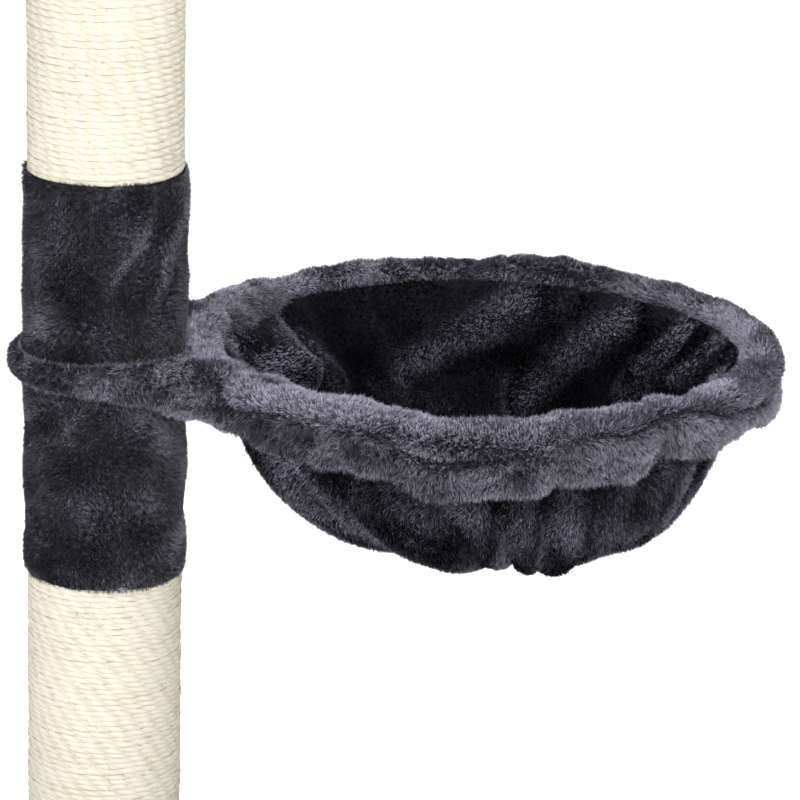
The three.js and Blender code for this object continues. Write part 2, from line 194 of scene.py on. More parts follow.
# the darker colour in the grooves between the strands is painted shade; the fibre and stain noise
# is the yarn's own colour
def sisalRope():  # pale twisted sisal yarn: fine slanting fibres and dark gaps between the strands
    material = startMaterial("natural sisal rope")
    coords = addNode(material, "UVMap", {"uv_map": "rope"})
    parts = addNode(material, "SeparateXYZ", {}, {0: coords.outputs[0]})
    along = addNode(material, "Math", {"operation": "MULTIPLY", 1: 60.0},
                    {0: parts.outputs[0]})  # three strands every 50 mm of rope
    around = addNode(material, "Math", {"operation": "MULTIPLY", 1: 3.0}, {0: parts.outputs[1]})
    slant = addNode(material, "Math", {"operation": "ADD"},
                    {0: along.outputs[0], 1: around.outputs[0]})
    saw = addNode(material, "Math", {"operation": "PINGPONG", 1: 0.5}, {0: slant.outputs[0]})
    stretched = addNode(material, "CombineXYZ", {}, {0: slant.outputs[0], 1: parts.outputs[0]})
    fine = addNode(material, "Mapping", {"Scale": (5.0, 40.0, 1.0)},
                   {"Vector": stretched.outputs[0]})
    fibres = addNode(material, "TexNoise", {"Scale": 1.0, "Detail": 3.0},
                     {"Vector": fine.outputs[0]})
    objectCoords = addNode(material, "TexCoord")
    stains = addNode(material, "TexNoise", {"Scale": 45.0, "Detail": 3.0},
                     {"Vector": objectCoords.outputs["Object"]})
    height = addNode(material, "Math", {"operation": "MULTIPLY_ADD", 1: 0.5},
                     {0: fibres.outputs["Fac"], 2: saw.outputs[0]})
    mixed = addNode(material, "Math", {"operation": "MULTIPLY_ADD", 1: 0.55},
                    {0: stains.outputs["Fac"], 2: height.outputs[0]})
    # painted shade: the colour follows the strand height, darker in the grooves between the
    # strands
    colour = addNode(material, "ValToRGB", {"stops": [
        (0.22, "#8e8570"), (0.62, "#a9a493"), (0.40, "#a19a88"), (0.85, "#b2aea1"),
    ]}, {"Fac": mixed.outputs[0]})
    # painted shade: short dark dashes along the turns' edges, standing in for gaps where two turns
    # don't quite meet
    edge = addNode(material, "Math", {"operation": "PINGPONG", 1: 0.25}, {0: parts.outputs[1]})
    dashes = addNode(material, "TexNoise", {"noise_dimensions": "1D", "Scale": 1.0, "Detail": 2.0},
                     {"W": along.outputs[0]})
    parted = addNode(material, "MapRange", {"From Min": 0.50, "From Max": 0.62},
                    {"Value": dashes.outputs["Fac"]})
    shut = addNode(material, "MapRange", {"From Min": 0.130, "From Max": 0.141, "To Min": 1.0,
                                          "To Max": 0.0}, {"Value": edge.outputs[0]})
    gap = addNode(material, "Math", {"operation": "MULTIPLY"},
                  {0: parted.outputs[0], 1: shut.outputs[0]})
    toned = addNode(material, "Mix", {"data_type": "RGBA", 7: toLinear("#938974")},
                    {0: gap.outputs[0], 6: colour.outputs[0]})
    bump = addNode(material, "Bump", {"Strength": 0.16, "Distance": 0.0009},
                   {"Height": height.outputs[0]})
    return endMaterial(material, {
        "Roughness": 0.85, "Specular IOR Level": 0.15, "Sheen Weight": 0.05,
        "Sheen Roughness": 0.5,
    }, toned.outputs[2], bump.outputs[0])


def sisalFibre():  # loose bast fibres that stand off the rope, paler than the yarn
    material = startMaterial("loose sisal fibre")
    coords = addNode(material, "UVMap", {"uv_map": "OFBake"})
    parts = addNode(material, "SeparateXYZ", {}, {0: coords.outputs[0]})
    colour = addNode(material, "ValToRGB", {"stops": [(0.0, "#b8a57f"), (1.0, "#f1e9d2")]},
                     {"Fac": parts.outputs[0]})
    return endMaterial(material, {"Roughness": 0.7, "Specular IOR Level": 0.3},
                       colour.outputs[0])


def chipboard():  # pressed wood flakes, matt and speckled
    material = startMaterial("raw chipboard")
    coords = addNode(material, "TexCoord")
    flakes = addNode(material, "TexVoronoi", {"Scale": 260.0, "Randomness": 1.0},
                     {"Vector": coords.outputs["Object"]})  # 4 mm flakes
    grain = addNode(material, "TexNoise", {"Scale": 700.0, "Detail": 2.0},
                    {"Vector": coords.outputs["Object"]})
    tone = addNode(material, "SeparateColor", {}, {0: flakes.outputs["Color"]})
    mixed = addNode(material, "Math", {"operation": "MULTIPLY_ADD", 1: 0.5},
                    {0: grain.outputs["Fac"], 2: tone.outputs[0]})
    colour = addNode(material, "ValToRGB", {"stops": [(0.2, "#8a6a45"), (0.923, "#dcc092"),
                                                      (0.55, "#b8966a")]},
                     {"Fac": mixed.outputs[0]})
    bump = addNode(material, "Bump", {"Strength": 0.5, "Distance": 0.0006},
                   {"Height": mixed.outputs[0]})
    return endMaterial(material, {"Roughness": 0.85, "Specular IOR Level": 0.3},
                       colour.outputs[0], bump.outputs[0])


def cardboardTube():  # spiral-wound kraft paper, with plies about 80 mm wide
    material = startMaterial("spiral kraft tube")
    coords = addNode(material, "TexCoord")
    turned = addNode(material, "Mapping", {"Rotation": (0.5, 0.0, 0.0)},
                     {"Vector": coords.outputs["Object"]})
    plies = addNode(material, "TexWave", {"Scale": 2.0, "Distortion": 0.3,
                                          "bands_direction": "Z", "wave_profile": "SAW"},
                    {"Vector": turned.outputs[0]})
    pulp = addNode(material, "TexNoise", {"Scale": 350.0, "Detail": 4.0},
                   {"Vector": coords.outputs["Object"]})
    mixed = addNode(material, "Math", {"operation": "MULTIPLY_ADD", 1: 0.35},
                    {0: plies.outputs["Fac"], 2: pulp.outputs["Fac"]})
    colour = addNode(material, "ValToRGB", {"stops": [(0.3, "#8d6b47"), (0.9, "#bd9a70")]},
                     {"Fac": mixed.outputs[0]})
    bump = addNode(material, "Bump", {"Strength": 0.3, "Distance": 0.0004},
                   {"Height": mixed.outputs[0]})
    return endMaterial(material, {"Roughness": 0.8, "Specular IOR Level": 0.3},
                       colour.outputs[0], bump.outputs[0])


def felt(name, low, high):  # pressed non-woven felt: tangled fibres with no direction
    material = startMaterial(name)
    coords = addNode(material, "TexCoord")
    tangle = addNode(material, "TexNoise", {"Scale": 650.0, "Detail": 5.0, "Distortion": 1.5},
                     {"Vector": coords.outputs["Object"]})
    clouds = addNode(material, "TexNoise", {"Scale": 30.0, "Detail": 2.0},
                     {"Vector": coords.outputs["Object"]})
    mixed = addNode(material, "Math", {"operation": "MULTIPLY_ADD", 1: 0.4},
                    {0: clouds.outputs["Fac"], 2: tangle.outputs["Fac"]})
    colour = addNode(material, "ValToRGB", {"stops": [(0.45, low), (0.95, high)]},
                     {"Fac": mixed.outputs[0]})
    bump = addNode(material, "Bump", {"Strength": 0.7, "Distance": 0.0006},
                   {"Height": tangle.outputs["Fac"]})
    return endMaterial(material, {"Roughness": 0.95, "Specular IOR Level": 0.2,
                                  "Sheen Weight": 0.2}, colour.outputs[0], bump.outputs[0])


def zincSteel():  # bright zinc plating on rolled steel: cloudy grey with fine drawing lines
    material = startMaterial("zinc plated steel")
    coords = addNode(material, "TexCoord")
    clouds = addNode(material, "TexNoise", {"Scale": 160.0, "Detail": 3.0},
                     {"Vector": coords.outputs["Object"]})
    colour = addNode(material, "ValToRGB", {"stops": [(0.3, "#9da0a3"), (0.7, "#c9cbcc")]},
                     {"Fac": clouds.outputs["Fac"]})
    bump = addNode(material, "Bump", {"Strength": 0.15, "Distance": 0.0003},
                   {"Height": clouds.outputs["Fac"]})
    return endMaterial(material, {"Metallic": 1.0, "Roughness": 0.38},
                       colour.outputs[0], bump.outputs[0])


def gripRubber():  # moulded black rubber with a soft matt skin
    material = startMaterial("moulded grip rubber")
    coords = addNode(material, "TexCoord")
    skin = addNode(material, "TexNoise", {"Scale": 500.0, "Detail": 3.0},
                   {"Vector": coords.outputs["Object"]})
    colour = addNode(material, "ValToRGB", {"stops": [(0.3, "#131315"), (0.7, "#222226")]},
                     {"Fac": skin.outputs["Fac"]})
    bump = addNode(material, "Bump", {"Strength": 0.4, "Distance": 0.0003},
                   {"Height": skin.outputs["Fac"]})
    return endMaterial(material, {"Roughness": 0.7, "Specular IOR Level": 0.4},
                       colour.outputs[0], bump.outputs[0])


backing = plushBacking()
pileFibre = plushFibre("brushed plush pile", "#0a0a0e", "#3a3842", "#85828f", 0.32, 0.32)
# painted shade: a darker copy of the same pile, with little sheen or gloss, used on the bowl
shadedFibre = plushFibre("shaded plush pile", "#050508", "#32303a", "#777480", 0.04, 0.0)
rope = sisalRope()
looseFibre = sisalFibre()
board = chipboard()
wadding = felt("grey recycled wadding", "#25252a", "#4a4a50")
cadFinishes = {
    "chipboard": board, "cardboard_tube": cardboardTube(), "zinc_steel": zincSteel(),
    "grip_rubber": gripRubber(), "liner_felt": felt("grey base felt", "#3a3a3e", "#6a6a70"),
    "plush": backing, "wadding": wadding, "sisal_rope": rope,
}
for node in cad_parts.values():
    for materialSlot in node.material_slots:
        materialSlot.material = cadFinishes[materialSlot.material.name]
print("finishes made")

# pile and loose fibres
# what most of the plush pieces have in common; a piece's own values come first
usualPile = {
    "clump": 0.006, "clumpTone": 0.035, "floor": 0.0004, "sparkle": 0.45, "mess": 0.5,
    "leanChange": 0.2, "width": 0.0008, "droop": 0.0, "gloss": 0.4, "patchSize": 0.03,
    "patches": 0.05, "fleck": 0.2,
}


def growFibres(name, source, body, slot, material, pile, share=None, brush=None, tone=None,
                trim=None):
    pile = {**usualPile, **pile}
    evaluated = source.evaluated_get(bpy.context.evaluated_depsgraph_get())
    mesh = evaluated.to_mesh()
    mesh.calc_loop_triangles()
    corners = np.empty(len(mesh.loop_triangles) * 3, np.int64)
    mesh.loop_triangles.foreach_get("vertices", corners)
    corners = corners.reshape(-1, 3)
    places = shape(mesh)
    normals = np.empty(len(mesh.vertices) * 3)
    mesh.vertices.foreach_get("normal", normals)
    normals = normals.reshape(-1, 3)
    evaluated.to_mesh_clear()
    a, b, c = (places[corners[:, i]] for i in range(3))
    areas = np.linalg.norm(np.cross(b - a, c - a), axis=1) / 2
    if share is not None:
        areas = areas * share((a + b + c) / 3, unit(normals[corners].sum(1)))
    draw = np.random.default_rng(pile["seed"])
    count = int(areas.sum() * pile["perSquareMetre"])
    ends = np.cumsum(areas)
    picks = np.searchsorted(ends, (np.arange(count) + draw.random(count)) / count * ends[-1])
    picks = corners[np.minimum(picks, len(corners) - 1)]
    first = np.sqrt(draw.random(count))
    second = draw.random(count)
    weights = np.stack([1 - first, first * (1 - second), first * second], 1)[:, :, None]
    roots = (places[picks] * weights).sum(1)
    outward = unit((normals[picks] * weights).sum(1))
    # the lie of the pile: the brush direction in the surface, turned by smooth noise
    if brush is None:
        lie = np.tile([0.0, 0.0, -1.0], (count, 1))
    else:
        lie = brush(roots, outward)
    lie = unit(lie - outward * (lie * outward).sum(1)[:, None] + 1e-4)
    side = np.cross(outward, lie)
    swirl = pile["swirl"] * waves(roots, pile["seed"] + 1, pile["swirlSize"])
    clumps = waves(roots, pile["seed"] + 4, pile["clump"], 24)
    swirl = swirl + 0.35 * clumps + pile["mess"] * draw.normal(size=count)
    lie = lie * np.cos(swirl)[:, None] + side * np.sin(swirl)[:, None]
    lean = pile["lean"] + pile["leanChange"] * waves(roots, pile["seed"] + 2, pile["swirlSize"])
    lean = lean + 0.15 * waves(roots, pile["seed"] + 5, pile["clump"], 24)
    lean = np.clip(lean + 0.2 * draw.normal(size=count), 0.05, 1.45)
    strand = outward * np.cos(lean)[:, None] + lie * np.sin(lean)[:, None]
    lengths = pile["length"] * draw.uniform(0.65, 1.15, count) * (1 + 0.14 * clumps)
    if trim is not None:
        lengths = lengths * trim(roots)
    tips = roots + strand * lengths[:, None]
    tips[:, 2] -= pile["droop"] * lengths
    turn = draw.uniform(0, math.pi, count)
    across = unit(np.cross(strand, outward + 0.01))
    flat = across * np.cos(turn)[:, None] + np.cross(strand, across) * np.sin(turn)[:, None]
    flat = flat * (pile["width"] / 2 * draw.uniform(0.7, 1.2, count))[:, None]
    roots = roots - outward * 0.0006
    corners = np.stack([roots - flat, roots + flat, tips], 1)
    corners[:, :, 2] = np.maximum(corners[:, :, 2], pile["floor"])
    shading = outward + pile["gloss"] * strand + pile["sparkle"] * draw.normal(size=(count, 3))
    shading = unit(shading)
    # painted light and shade: a piece's tone sets how light its whole pile is, and on the plush
    # the pieces differ as lit and shaded copies of one fabric; broad patches stand in for the
    # sheen of pile lying different ways
    tint = pile["tone"] + pile["patches"] * waves(roots, pile["seed"] + 3, pile["patchSize"])
    spread = draw.normal(size=count)
    # painted light: upward-facing fibres are a little lighter
    tint += pile["clumpTone"] * clumps + 0.04 * outward[:, 2]
    # painted highlights: a few fibres are tinted much lighter, as if they caught the light, and
    # the rest vary at random
    tint += pile["fleck"] * (0.7 * spread + 0.35 * (spread ** 2 - 1))
    # a piece's own painted light and shade by place
    if tone is not None:
        tint += tone(roots, outward)
    tint = np.clip(tint, 0.02, 0.98)
    flatMap = np.empty((count, 3, 2))
    flatMap[:, :, 0] = tint[:, None] + np.array([-0.008, 0.008, 0.0])
    flatMap[:, :, 1] = [0.02, 0.02, 0.98]
    groups = max(1, math.ceil(count / 195000))
    # a big pile is cut into sectors, so that each piece stays small
    turnRound = np.arctan2(roots[:, 1] - roots[:, 1].mean(), roots[:, 0] - roots[:, 0].mean())
    order = np.argsort(turnRound, kind="stable")
    pieces = []
    for number, chosen in enumerate(np.array_split(order, groups)):
        label = name if groups == 1 else f"{name}_{number + 1}"
        size = len(chosen)
        part = bpy.data.meshes.new(label)
        part.vertices.add(size * 3)
        part.loops.add(size * 3)
        part.polygons.add(size)
        part.vertices.foreach_set("co", corners[chosen].astype(np.float32).ravel())
        part.loops.foreach_set("vertex_index", np.arange(size * 3, dtype=np.int32))
        part.polygons.foreach_set("loop_start", np.arange(0, size * 3, 3, dtype=np.int32))
        uvMap = part.uv_layers.new(name="OFBake")
        part.update(calc_edges=True)
        uvMap.data.foreach_set("uv", flatMap[chosen].astype(np.float32).ravel())
        part.materials.append(material)
        part.polygons.foreach_set("use_smooth", np.ones(size, dtype=bool))
        turned = np.repeat(shading[chosen], 3, axis=0)
        part.normals_split_custom_set_from_vertices(turned.tolist())
        piece = bpy.data.objects.new(label, part)
        scene.collection.objects.link(piece)
        place(piece, body, slot)
        pieces.append(piece)
    print(name, count, "fibres in", groups)
    return pieces


# camera, lights and floor
view = {
    "lens": 202.5, "distance": 4.331, "down": 17.25, "turned": 8.2, "roll": 1.32,
    "pastPost": 0.2838, "underLoop": 0.0368,
}
postAxis = Vector(((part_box("post_tube")[0].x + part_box("post_tube")[1].x) / 2, 0, 0))
loopHeight = (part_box("loop_wire")[0].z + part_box("loop_wire")[1].z) / 2
hoopLow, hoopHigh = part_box("hoop_wire")
hoopCentre = Vector(((hoopLow.x + hoopHigh.x) / 2, 0, loopHeight))


def makeCamera():
    down, turned, roll = (math.radians(view[k]) for k in ("down", "turned", "roll"))
    right = Vector((math.cos(turned), -math.sin(turned), 0))
    ahead = Vector((math.sin(turned) * math.cos(down), math.cos(turned) * math.cos(down),
                    -math.sin(down)))
    up = right.cross(ahead)
    target = postAxis + Vector((0, 0, loopHeight - view["underLoop"])) + right * view["pastPost"]
    rolledRight = right * math.cos(roll) + up * math.sin(roll)
    rolledUp = up * math.cos(roll) - right * math.sin(roll)
    data = bpy.data.cameras.new("camera")
    data.lens = view["lens"]
    data.sensor_width = 36
    data.dof.use_dof = False
    data.clip_start, data.clip_end = 0.1, 100
    camera = bpy.data.objects.new("camera", data)
    scene.collection.objects.link(camera)
    turn = Matrix((rolledRight, rolledUp, -ahead)).transposed().to_4x4()
    camera.matrix_world = Matrix.Translation(target - ahead * view["distance"]) @ turn
    scene.camera = camera


studio = {
    "worldStrength": 0.42,
    "lamps": [  # name, place, aim, size, power
        ("top softbox", (0.3, -0.5, 3.3), (0.1, 0, 0.6), 2.2, 80),
        ("front softbox", (-0.6, -3.8, 1.9), (0.1, 0, 0.6), 2.2, 185),
        ("left softbox", (-3.0, -0.6, 0.9), (0.1, 0, 0.6), 1.8, 24),
        ("right softbox", (3.2, -0.9, 1.3), (0.1, 0, 0.6), 1.8, 30),
        ("rim softbox", (1.2, 2.6, 2.4), (0.1, 0, 0.6), 1.8, 35),
    ],
}


def makeStudio():
    world = bpy.data.worlds.new("studio")
    scene.world = world
    world.use_nodes = True
    world.node_tree.nodes["Background"].inputs[0].default_value = (1, 1, 1, 1)
    world.node_tree.nodes["Background"].inputs[1].default_value = studio["worldStrength"]
    for name, spot, aim, size, power in studio["lamps"]:
        data = bpy.data.lights.new(name, "AREA")
        data.shape = "DISK"
        data.size = size
        data.energy = power
        lamp = bpy.data.objects.new(name, data)
        scene.collection.objects.link(lamp)
        lamp.location = spot
        lamp.rotation_euler = (Vector(aim) - Vector(spot)).to_track_quat("-Z", "Y").to_euler()
    scene.view_settings.view_transform = "Standard"
    scene.view_settings.look = "None"
    paper = startMaterial("white paper sweep")  # plain matt background paper
    coords = addNode(paper, "TexCoord")
    fibre = addNode(paper, "TexNoise", {"Scale": 60.0, "Detail": 2.0},
                    {"Vector": coords.outputs["Object"]})
    colour = addNode(paper, "ValToRGB", {"stops": [(0.3, "#fbfbfb"), (0.7, "#ffffff")]},
                     {"Fac": fibre.outputs["Fac"]})
    endMaterial(paper, {"Roughness": 0.9, "Specular IOR Level": 0.1,
                        "Emission Color": (1, 1, 1, 1), "Emission Strength": 0.6},
                colour.outputs[0])
    bm = bmesh.new()
    bmesh.ops.create_grid(bm, x_segments=8, y_segments=8, size=12)
    floor = finishMesh(bm, "floor", paper)


makeCamera()
makeStudio()
print("camera, studio and floor made")

# post: sisal rope
def facingOut(least):  # leaves fibres only where the surface looks away from the post
    def share(spots, outward):
        away = unit(spots[:, :2] - np.array(postAxis[:2]))
        return (outward[:, :2] * away).sum(1) > least
    return share


windings = {
    # the last turns run on under the sleeve and into the covers, so that no tube shows
    "lower": {"node": "lower_sisal_winding", "turns": 69, "seed": 11, "under": (-0.003, -0.006)},
    "upper": {"node": "upper_sisal_winding", "turns": 48, "seed": 12, "under": (-0.0065, -0.003)},
}
ropeWork = {"steps": 48, "sides": 12, "snug": 1.45, "unevenTurn": 0.0003, "unevenLie": 0.0003}


def windRope(label):
    work = windings[label]
    low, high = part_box(work["node"])
    turns, steps, sides = work["turns"], ropeWork["steps"], ropeWork["sides"]
    thick = (high.z - low.z - work["under"][0] - work["under"][1]) / (turns + 1)
    bottom = low.z + work["under"][0]
    lineRadius = high.x - postAxis.x - thick / 2
    bm = bmesh.new()
    made = bmesh.ops.create_circle(bm, cap_ends=False, segments=sides, radius=thick / 2)
    stand = Matrix.Translation(Vector((lineRadius, 0, bottom + thick / 2)))
    pressed = Matrix.Diagonal((1, ropeWork["snug"], 1, 1))  # the turns are hammered together
    bmesh.ops.transform(bm, matrix=stand @ Matrix.Rotation(math.pi / 2, 4, "X") @ pressed,
                        verts=made["verts"])
    piece = finishMesh(bm, f"{label}_sisal_rope", rope)
    settle(piece, "SCREW", axis="Z", angle=2 * math.pi, screw_offset=thick, iterations=turns,
           steps=steps, render_steps=steps, use_merge_vertices=False, use_smooth_shade=True)
    bm = bmesh.new()
    bm.from_mesh(piece.data)
    bmesh.ops.translate(bm, verts=bm.verts, vec=postAxis)
    bmesh.ops.holes_fill(bm, edges=[edge for edge in bm.edges if edge.is_boundary])
    bmesh.ops.recalc_face_normals(bm, faces=bm.faces)
    bm.to_mesh(piece.data)
    bm.free()
    mesh = piece.data
    places = shape(mesh)
    index = np.arange(len(places))
    step, side = index // sides, index % sides
    travel = step / steps  # turns from the start of the rope
    flat = places[:, :2] - np.array(postAxis[:2])
    radial = flat / np.linalg.norm(flat, axis=1)[:, None]
    line = np.stack([travel, np.zeros_like(travel)], 1)
    bulge = ropeWork["unevenTurn"] * waves(line, work["seed"], 0.31)
    drop = ropeWork["unevenLie"] * waves(line, work["seed"] + 1, 0.47)
    drop = drop * np.minimum(1, np.minimum(travel, turns - travel))
    places[:, :2] += radial * bulge[:, None]
    places[:, 2] += drop
    reshape(mesh, places)
    uv = mesh.uv_layers.new(name="rope")
    bake = mesh.uv_layers.new(name="OFBake")
    loopVertex = np.empty(len(mesh.loops), np.int64)
    mesh.loops.foreach_get("vertex_index", loopVertex)
    starts = np.empty(len(mesh.polygons), np.int64)
    totals = np.empty(len(mesh.polygons), np.int64)
    mesh.polygons.foreach_get("loop_start", starts)
    mesh.polygons.foreach_get("loop_total", totals)
    lowestStep = np.repeat(np.minimum.reduceat(step[loopVertex], starts), totals)
    aroundLoop = side[loopVertex].astype(float)
    faceSides = np.minimum.reduceat(side[loopVertex], starts)
    wraps = np.repeat((np.maximum.reduceat(side[loopVertex], starts) - faceSides) > 1, totals)
    aroundLoop[wraps & (aroundLoop == 0)] = sides
    alongLoop = step[loopVertex] / steps
    circumference = 2 * math.pi * lineRadius
    values = np.stack([alongLoop * circumference, aroundLoop / sides], 1)
    uv.data.foreach_set("uv", values.astype(np.float32).ravel())
    turnOf = np.floor(lowestStep / steps)
    packed = np.stack([np.clip(alongLoop - turnOf, 0, 1),
                       (turnOf + 0.04 + 0.92 * aroundLoop / sides) / turns], 1)
    bake.data.foreach_set("uv", np.clip(packed, 0, 1).astype(np.float32).ravel())
    place(piece, "stand", "sisal_rope", work["node"])
    growFibres(f"{label}_sisal_fuzz", piece, "stand", "sisal_rope", looseFibre, {
        "seed": work["seed"] + 5, "perSquareMetre": 36000, "swirl": 0.6, "swirlSize": 0.05,
        "lean": 1.2, "leanChange": 0.12, "length": 0.0085, "width": 0.00035, "gloss": 0.0,
        "patches": 0.1, "tone": 0.6,
    }, share=facingOut(0.3), brush=lambda spots, outward: np.stack(
        [-outward[:, 1], outward[:, 0], np.zeros(len(outward))], 1))


for label in windings:
    windRope(label)
print("sisal wound")

# post: plush sleeve
sleeve = {"skin": 0.0022, "inset": 0.0021, "rings": 40, "around": 96}


def makeSleeve():
    low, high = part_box("plush_sleeve")
    outer = (high.x - low.x) / 2 - sleeve["inset"]
    bm = bmesh.new()
    bmesh.ops.create_cone(bm, cap_ends=False, segments=sleeve["around"], radius1=outer,
                          radius2=outer, depth=high.z - low.z - 0.0004)
    bmesh.ops.translate(bm, verts=bm.verts, vec=postAxis + Vector((0, 0, (low.z + high.z) / 2)))
    upright = [e for e in bm.edges if abs(e.verts[0].co.z - e.verts[1].co.z) > 0.1]
    bmesh.ops.subdivide_edges(bm, edges=upright, cuts=sleeve["rings"], use_grid_fill=True)
    piece = finishMesh(bm, "sleeve_fabric", backing)
    places = shape(piece.data)
    flat = places[:, :2] - np.array(postAxis[:2])
    radial = flat / np.linalg.norm(flat, axis=1)[:, None]
    wander = 0.0004 * waves(places, 21, 0.06) + 0.0003 * waves(places, 22, 0.02)
    # the cloth turns in at both hems
    fromEnd = np.minimum(places[:, 2] - low.z, high.z - places[:, 2])
    turnIn = 0.0004 * np.exp(-(fromEnd / 0.003) ** 2)
    places[:, :2] += radial * (wander - turnIn)[:, None]
    reshape(piece.data, places)
    settle(piece, "SOLIDIFY", thickness=sleeve["skin"], offset=-1.0)
    place(piece, "stand", "plush", "plush_sleeve")
    # the low tone is painted shade: the same plush as the hammock, darker on the upright sleeve
    pile = growFibres("sleeve_pile", piece, "stand", "plush", pileFibre, {
        "seed": 31, "perSquareMetre": 1300000, "swirl": 1.2, "swirlSize": 0.07, "lean": 0.8,
        "leanChange": 0.35, "length": 0.0052, "width": 0.0007, "droop": 0.05, "gloss": 0.3,
        "patchSize": 0.055, "patches": 0.19, "tone": 0.165,
    }, share=facingOut(-0.2))


makeSleeve()
print("sleeve made")

# hammock: rolls on the two wires
def aboutCentre(places, centre):  # angle, radius and height about a ring's centre
    x = places[:, 0] - centre.x
    y = places[:, 1] - centre.y
    return np.arctan2(y, x), np.hypot(x, y), places[:, 2] - centre.z


def fromCentre(angle, radius, height, centre):
    return np.stack([centre.x + radius * np.cos(angle), centre.y + radius * np.sin(angle),
                     centre.z + height], 1)


def spinSection(centre, radius, section, steps):  # a closed section swept round an upright axis
    bm = bmesh.new()
    made = bmesh.ops.create_circle(bm, cap_ends=False, segments=section["sides"], radius=1)
    size = Matrix.Diagonal((section["half"], section["halfHeight"], 1, 1))
    stand = Matrix.Translation(centre + Vector((radius, 0, 0)))
    bmesh.ops.transform(bm, matrix=stand @ Matrix.Rotation(math.pi / 2, 4, "X") @ size,
                        verts=made["verts"])
    bmesh.ops.spin(bm, geom=bm.verts[:] + bm.edges[:], cent=centre, axis=(0, 0, 1),
                   angle=2 * math.pi, steps=steps, use_merge=True)
    bmesh.ops.remove_doubles(bm, verts=bm.verts, dist=1e-6)
    return bm


loopCentre = postAxis + Vector((0, 0, loopHeight))
loopWork = {"radius": 0.0850, "half": 0.0048, "halfHeight": 0.0142, "sides": 20, "steps": 140}


def makeLoopCover():
    bm = spinSection(loopCentre, loopWork["radius"], loopWork, loopWork["steps"])
    piece = finishMesh(bm, "loop_cover_fabric", backing)
    angle, radius, height = aboutCentre(shape(piece.data), loopCentre)
    straight = np.abs(height) / loopWork["halfHeight"]
    squarer = np.sign(radius - loopWork["radius"]) * 0.0012 * np.sin(straight * math.pi) ** 2
    lumps = 0.0007 * waves(shape(piece.data), 41, 0.03)
    outside = np.clip((radius - loopWork["radius"]) / loopWork["half"], 0, 1)
    radius = radius + squarer + lumps * outside
    height = height * (1 - 0.14 * np.clip(-np.cos(angle), 0, 1) ** 2)  # narrower behind the post
    reshape(piece.data, fromCentre(angle, radius, height, loopCentre))
    place(piece, "hammock", "plush", "loop_cover")
    # the high tone is painted light on the loop, the same plush as the darker sleeve
    growFibres("loop_pile", piece, "hammock", "plush", pileFibre, {
        "seed": 42, "perSquareMetre": 1450000, "swirl": 0.7, "swirlSize": 0.05, "lean": 0.7,
        "length": 0.0048, "droop": 0.05, "tone": 0.74,
    }, share=facingOut(-0.5))


makeLoopCover()

rollWork = {"radius": 0.0176, "sides": 32, "steps": 360, "wire": 0.0035}
# rollLine, seamLine and hemLine are traced lines, not worked out from driving sizes
# the roll's line: degrees round the hoop from the far side, lift and thickness change in mm
rollLine = [
    (-180, 0, 0), (-161, -5, 0), (-144, -3, 0), (-135, -1, 1), (-128, 2, 1), (-121, 1, 1),
    (-114, -2, 0), (-109, -6, 0), (-100, -6, 0), (-89, -5, 1), (-84, 0, 1), (-71, -1, 0),
    (-66, 4, 0), (-61, 4, 0), (-56, -4, 0), (-43, 1, 1), (-20, 0, 0), (8, 0, -1), (24, 0, -2),
    (40, -2, -1), (52, -2, -1), (58, 3, 0), (68, 3, 0), (78, 1, 0), (85, -3, -1), (95, -2, 0),
    (110, 0, 0), (119, -1, 0), (128, -4, -1), (138, 2, 0), (149, 5, 1), (165, 3, 1),
]
# creases that part the roll into soft lobes: degrees, strength
rollCreases = [
    (-166, 0.8), (-146, 0.6), (-131, 0.5), (-116, 0.9), (-104, 0.3), (-86.5, 0.7), (-79, 0.4),
    (-63, 1.0), (-50, 0.6), (-36, 0.8), (-19, 0.5), (-4, 0.6), (12, 0.8), (24, 0.5), (33, 0.8),
    (45, 0.5), (54, 0.9), (63, 0.4), (73, 0.5), (83, 0.9), (90, 0.5), (99, 0.6), (107, 0.4),
    (115, 0.7), (124, 0.9), (133, 0.6), (144, 0.8), (153, 0.6), (168, 1.0),
]
# the stitched seam under the roll and the ruffle's hem: degrees, mm over the hoop
seamLine = [
    (-180, -13), (-150, -12), (-138, -3), (-133, 0), (-121, 0), (-117, -8), (-113, -17),
    (-107, -26), (-100, -21), (-92, -17), (-87, -13), (-84, -6), (-79, 1), (-70, -3),
    (-65, 8), (-57, 9), (-48, -4), (-30, -12), (-5, -8), (20, -14), (45, -10), (75, -15),
    (100, -9), (130, -14), (155, -11),
]
hemLine = [
    (-180, -42), (-153, -41), (-145, -41), (-137, -45), (-133, -48), (-124, -45), (-118, -47),
    (-114, -55), (-106, -62), (-97, -57), (-88, -58), (-83, -52), (-77, -49), (-70, -51),
    (-64, -44), (-61, -33), (-56, -40), (-52, -42), (-47, -40), (-39, -36), (-31, -38),
    (-10, -47), (8, -41), (24, -50), (44, -46), (60, -54), (77, -45), (98, -52), (120, -46),
    (141, -52), (160, -44),
]


def roundTable(angle, table, column=1, soften=3.0):  # a closed smooth line through the table
    dense = np.arange(-180, 180, 0.5)
    marks = np.array([row[0] for row in table], float)
    values = np.array([row[column] for row in table], float)
    line = np.interp(dense, marks, values, period=360)
    reach = np.exp(-((np.arange(-40, 41) * 0.5 / soften) ** 2))
    wrapped = np.concatenate([line[-40:], line, line[:40]])
    line = np.convolve(wrapped, reach / reach.sum(), mode="valid")
    return np.interp(np.degrees(angle), dense, line, period=360)


def apart(angle, degrees):  # how far round, in radians, between -pi and pi
    return (angle - math.radians(degrees) + math.pi) % (2 * math.pi) - math.pi


hoopRadius = (hoopHigh.x - hoopLow.x) / 2 - rollWork["wire"]  # its centre line


